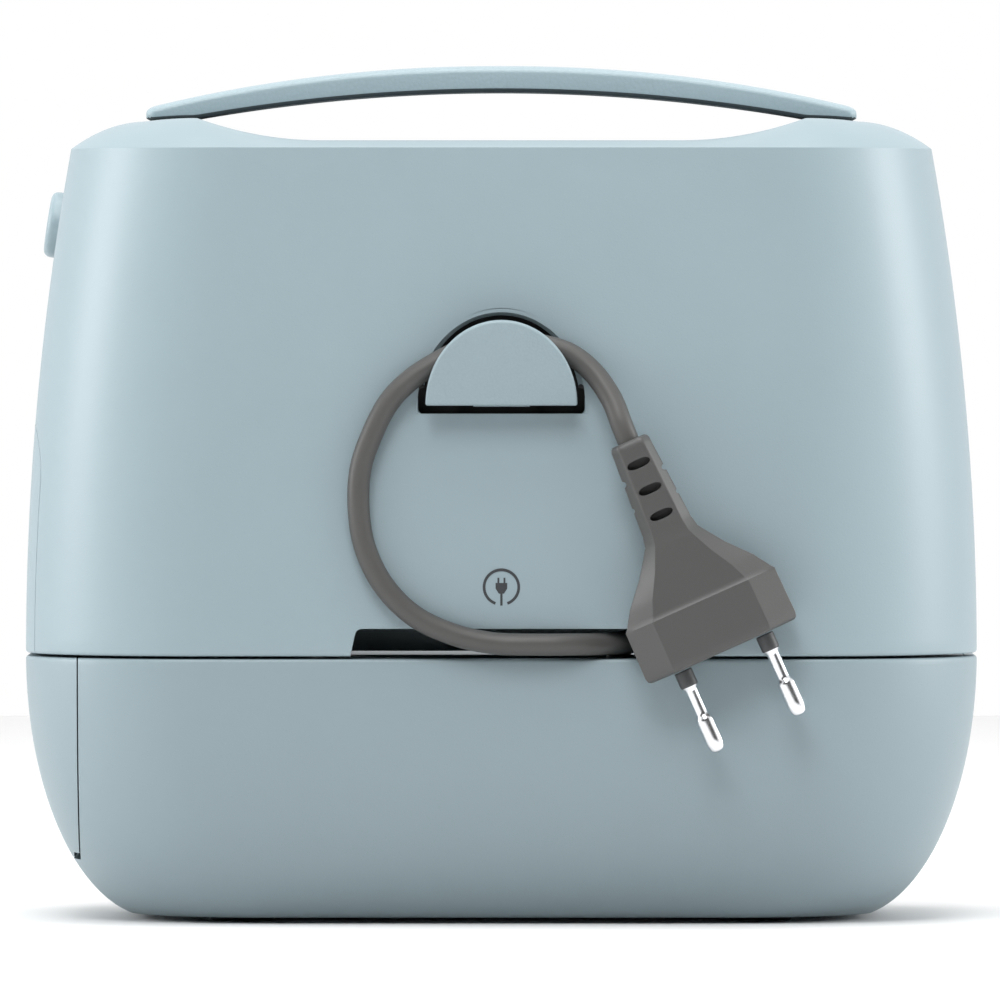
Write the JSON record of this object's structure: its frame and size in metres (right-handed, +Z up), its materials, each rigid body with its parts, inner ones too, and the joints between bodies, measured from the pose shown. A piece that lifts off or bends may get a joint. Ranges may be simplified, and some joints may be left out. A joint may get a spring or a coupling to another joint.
{
  "type": "sewing machine",
  "caption": "Compact portable sewing machine with a closed rounded back, strap handle on two horns, side drawer, and a mains cord looped over a half-round back hook.",
  "frame": {"origin": "centre of the footprint at the table surface", "axes": "+X along the arm towards the handwheel knob, +Y to the closed back, +Z up"},
  "size_m": [0.2054, 0.1446, 0.1847],
  "materials": {
    "shell": "fine matt grey-blue moulding",
    "base": "fine matt grey-blue moulding, a little darker",
    "panel": "light grey moulding",
    "dark": "dark grey moulding",
    "steel": "machined steel",
    "polished": "polished plated metal",
    "rubber": "black rubber",
    "strap": "fine-grained grey-blue strap",
    "cord": "soft grey cord jacket",
    "plug": "grey moulded plug",
    "bobbin": "clear-white plastic",
    "board": "green circuit board",
    "lens": "milky lamp lens"
  },
  "bodies": {
    "body": {"hook_cup": "shell", "hook_pin": "steel", "back_housing": "shell", "front_housing": "shell", "bay_panel": "shell", "base_shell": "base", "deck_plate": "shell", "needle_plate": "polished", "foot_1": "rubber", "foot_2": "rubber", "foot_3": "rubber", "foot_4": "rubber", "hatch_niche": "dark", "spare_bobbin_1": "bobbin", "spare_bobbin_2": "bobbin", "handle_strap": "strap", "handle_stud_1": "steel", "handle_stud_2": "steel", "timing_belt": "rubber", "drive_belt": "rubber", "arm_frame": "steel", "bar_guide": "steel", "presser_spring": "steel", "base_frame": "steel", "motor": "dark", "control_board": "board", "lamp_lens": "lens", "cord_well": "dark", "cord_coil": "cord", "cord_run": "cord", "plug_body": "plug", "plug_pin_1": "polished", "plug_pin_2": "polished"},
    "handwheel": {"handwheel_knob": "shell"},
    "upper_drive": {"upper_shaft": "steel", "crank_disc": "steel", "belt_wheel": "dark"},
    "lower_drive": {"lower_shaft": "steel"},
    "motor_rotor": {"motor_pulley": "dark"},
    "hook": {"rotary_hook": "polished"},
    "bobbin": {"bobbin": "bobbin"},
    "needle_bar": {"needle_bar": "polished", "needle": "polished"},
    "presser": {"presser_bar": "polished", "presser_foot": "polished"},
    "lifter": {"presser_lifter": "dark"},
    "take_up": {"take_up_lever": "polished"},
    "feed": {"feed_dog": "steel"},
    "face_cover": {"face_cover": "shell"},
    "side_hatch": {"side_hatch": "shell"},
    "drawer": {"accessory_drawer": "base"},
    "bobbin_cover": {"bobbin_cover": "shell"},
    "cord_hook": {"cord_hook_flap": "shell"},
    "stitch_dial": {"stitch_dial": "dark"},
    "length_dial": {"length_dial": "dark"},
    "tension_dial": {"tension_dial": "dark"},
    "start_button": {"start_button": "panel"},
    "reverse_button": {"reverse_button": "panel"},
    "spool_pin": {"spool_pin": "dark"}
  },
  "joints": [
    {"name": "upper_shaft_turn", "type": "hinge", "parent": "body", "child": "upper_drive", "pos_m": [0, -0.02, 0.14491], "axis": [1, 0, 0], "continuous": true},
    {"name": "handwheel_turn", "type": "hinge", "parent": "body", "child": "handwheel", "pos_m": [0.09571, -0.02, 0.15], "axis": [0.9888, 0, 0.1493], "continuous": true},
    {"name": "lower_shaft_turn", "type": "hinge", "parent": "body", "child": "lower_drive", "pos_m": [0, -0.02, 0.032], "axis": [1, 0, 0], "continuous": true},
    {"name": "motor_turn", "type": "hinge", "parent": "body", "child": "motor_rotor", "pos_m": [0.053, 0.038, 0.088], "axis": [1, 0, 0], "continuous": true},
    {"name": "hook_turn", "type": "hinge", "parent": "body", "child": "hook", "pos_m": [-0.07, -0.037, 0.04], "axis": [0, 0, 1], "continuous": true},
    {"name": "bobbin_turn", "type": "hinge", "parent": "body", "child": "bobbin", "pos_m": [-0.07, -0.037, 0.043], "axis": [0, 0, 1], "continuous": true},
    {"name": "needle_bar_stroke", "type": "slide", "parent": "body", "child": "needle_bar", "axis": [0, 0, -1], "range_m": [0, 0.024]},
    {"name": "presser_lift", "type": "hinge", "parent": "body", "child": "lifter", "pos_m": [-0.061, 0.007, 0.112], "axis": [-1, 0, 0], "range_deg": [0, 45]},
    {"name": "presser_slide", "type": "slide", "parent": "body", "child": "presser", "axis": [0, 0, 1], "range_m": [0, 0.006], "deforming": ["presser_spring"]},
    {"name": "take_up_swing", "type": "hinge", "parent": "body", "child": "take_up", "pos_m": [-0.055, -0.031, 0.138], "axis": [1, 0, 0], "range_deg": [-22, 20]},
    {"name": "feed_stroke", "type": "slide", "parent": "body", "child": "feed", "axis": [0, 1, 0], "range_m": [-0.0014, 0.0014]},
    {"name": "face_cover_swing", "type": "hinge", "parent": "body", "child": "face_cover", "pos_m": [-0.1015, 0.0083, 0.131], "axis": [0, 0, -1], "range_deg": [0, 95]},
    {"name": "side_hatch_swing", "type": "hinge", "parent": "body", "child": "side_hatch", "pos_m": [0.1029, 0, 0.0575], "axis": [0, 1, 0], "range_deg": [0, 88]},
    {"name": "drawer_slide", "type": "slide", "parent": "body", "child": "drawer", "axis": [1, 0, 0], "range_m": [0, 0.045]},
    {"name": "bobbin_cover_slide", "type": "slide", "parent": "body", "child": "bobbin_cover", "axis": [0, -1, 0], "range_m": [0, 0.02]},
    {"name": "cord_hook_tilt", "type": "hinge", "parent": "body", "child": "cord_hook", "pos_m": [0, 0.0591, 0.1143], "axis": [-1, 0, 0], "range_deg": [0, 22]},
    {"name": "stitch_dial_turn", "type": "hinge", "parent": "body", "child": "stitch_dial", "pos_m": [0.07, -0.06, 0.128], "axis": [0, -1, 0], "range_deg": [-150, 150]},
    {"name": "length_dial_turn", "type": "hinge", "parent": "body", "child": "length_dial", "pos_m": [0.012, -0.06, 0.141], "axis": [0, -1, 0], "range_deg": [-135, 135]},
    {"name": "tension_dial_turn", "type": "hinge", "parent": "body", "child": "tension_dial", "pos_m": [-0.026, -0.06, 0.141], "axis": [0, -1, 0], "range_deg": [-135, 135]},
    {"name": "start_button_press", "type": "slide", "parent": "body", "child": "start_button", "axis": [0, 1, 0], "range_m": [0, 0.0015], "stiffness_N_per_m": 300},
    {"name": "reverse_button_press", "type": "slide", "parent": "body", "child": "reverse_button", "axis": [0, 1, 0], "range_m": [0, 0.002], "stiffness_N_per_m": 300},
    {"name": "spool_pin_pull", "type": "slide", "parent": "body", "child": "spool_pin", "axis": [0, 0, 1], "range_m": [0, 0.026]}
  ],
  "couplings": [
    {"joint": "handwheel_turn", "follows": "upper_shaft_turn", "ratio": 1},
    {"joint": "lower_shaft_turn", "follows": "upper_shaft_turn", "ratio": 1},
    {"joint": "motor_turn", "follows": "upper_shaft_turn", "ratio": 2.6},
    {"joint": "hook_turn", "follows": "upper_shaft_turn", "ratio": 2},
    {"joint": "presser_lift", "follows": "presser_slide", "rad_per_m": 130.8}
  ]
}
